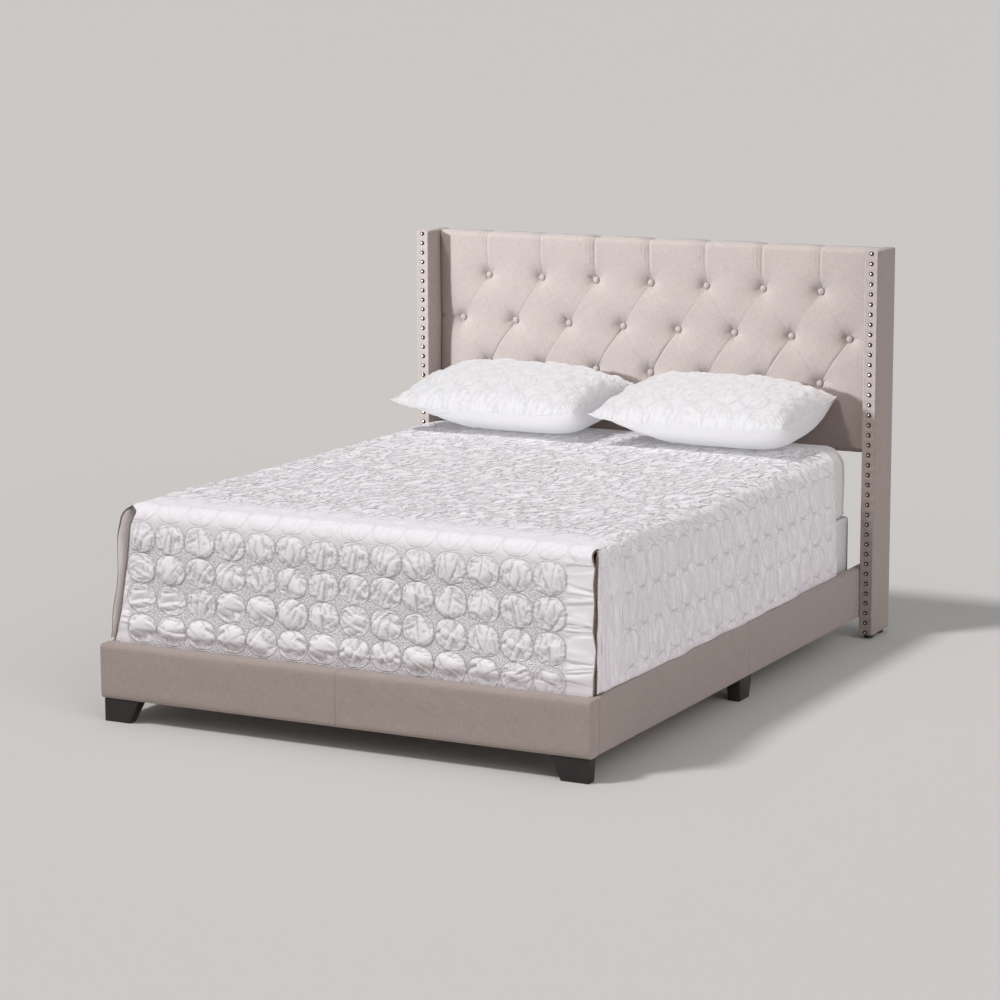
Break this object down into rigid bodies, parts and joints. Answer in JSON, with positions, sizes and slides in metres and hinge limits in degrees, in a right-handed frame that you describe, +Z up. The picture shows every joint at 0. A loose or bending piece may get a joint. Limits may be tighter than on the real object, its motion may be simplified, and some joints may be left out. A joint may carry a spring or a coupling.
{
  "type": "wingback bed",
  "caption": "Upholstered wingback bed with a button-tufted headboard, nail-trimmed wings and low side rails, dressed with box spring, mattress, quilted coverlet and pillows.",
  "frame": {"origin": "on the floor, under the centre of the bed's bounding box", "axes": "+Y from the foot to the head, +X to the right seen from the foot, +Z up"},
  "size_m": [1.724, 2.226, 1.3],
  "materials": {
    "plywood": "matte",
    "softwood": "matte",
    "linen_fabric": "matte",
    "back_cloth": "matte",
    "antique_nail": "polished",
    "black_plastic": "matte",
    "black_wood": "satin",
    "black_steel": "satin",
    "zinc_steel": "satin",
    "box_spring_ticking": "matte",
    "mattress_ticking": "matte",
    "mattress_fill": "matte",
    "quilted_cotton": "matte"
  },
  "bodies": {
    "frame": {"center_leg_1": "black_wood", "center_leg_2": "black_wood", "center_leg_3": "black_wood", "center_leg_4": "black_wood", "center_leg_bolts": "zinc_steel", "center_leg_glides": "black_plastic", "foot_bolts": "zinc_steel", "foot_bracket_bolts": "zinc_steel", "foot_bracket_left": "black_steel", "foot_bracket_right": "black_steel", "footboard_core": "softwood", "footboard_cover": "linen_fabric", "front_foot_left": "black_wood", "front_foot_right": "black_wood", "headboard_back_cloth": "back_cloth", "headboard_bolts": "zinc_steel", "headboard_bottom_rail": "softwood", "headboard_buttons": "linen_fabric", "headboard_cushion": "linen_fabric", "headboard_panel": "plywood", "headboard_stile_center": "softwood", "headboard_stile_left": "softwood", "headboard_stile_right": "softwood", "headboard_top_rail": "softwood", "ledger_left": "softwood", "ledger_right": "softwood", "ledger_screws": "zinc_steel", "mid_foot_left": "black_wood", "mid_foot_right": "black_wood", "rail_bolts": "zinc_steel", "side_rail_left_core": "softwood", "side_rail_left_cover": "linen_fabric", "side_rail_right_core": "softwood", "side_rail_right_cover": "linen_fabric", "slat_1": "softwood", "slat_2": "softwood", "slat_3": "softwood", "slat_4": "softwood", "slat_screws": "zinc_steel", "wing_left_core": "softwood", "wing_left_cover": "linen_fabric", "wing_left_glides": "black_plastic", "wing_left_nails": "antique_nail", "wing_right_core": "softwood", "wing_right_cover": "linen_fabric", "wing_right_glides": "black_plastic", "wing_right_nails": "antique_nail"},
    "box_spring": {"box_spring_cover": "box_spring_ticking", "box_spring_frame": "softwood", "box_spring_slats": "softwood"},
    "mattress": {"mattress_cover": "mattress_ticking", "mattress_core": "mattress_fill", "coverlet": "quilted_cotton"},
    "pillow_left": {"pillow_left": "quilted_cotton"},
    "pillow_right": {"pillow_right": "quilted_cotton"}
  },
  "joints": [
    {"name": "box_spring_lift", "type": "slide", "parent": "frame", "child": "box_spring", "axis": [0, 0, 1], "range_m": [0, 0.2]},
    {"name": "mattress_lift", "type": "slide", "parent": "box_spring", "child": "mattress", "axis": [0, 0, 1], "range_m": [0, 0.25]},
    {"name": "pillow_left_lift", "type": "slide", "parent": "mattress", "child": "pillow_left", "axis": [0, 0, 1], "range_m": [0, 0.3]},
    {"name": "pillow_right_lift", "type": "slide", "parent": "mattress", "child": "pillow_right", "axis": [0, 0, 1], "range_m": [0, 0.3]}
  ]
}
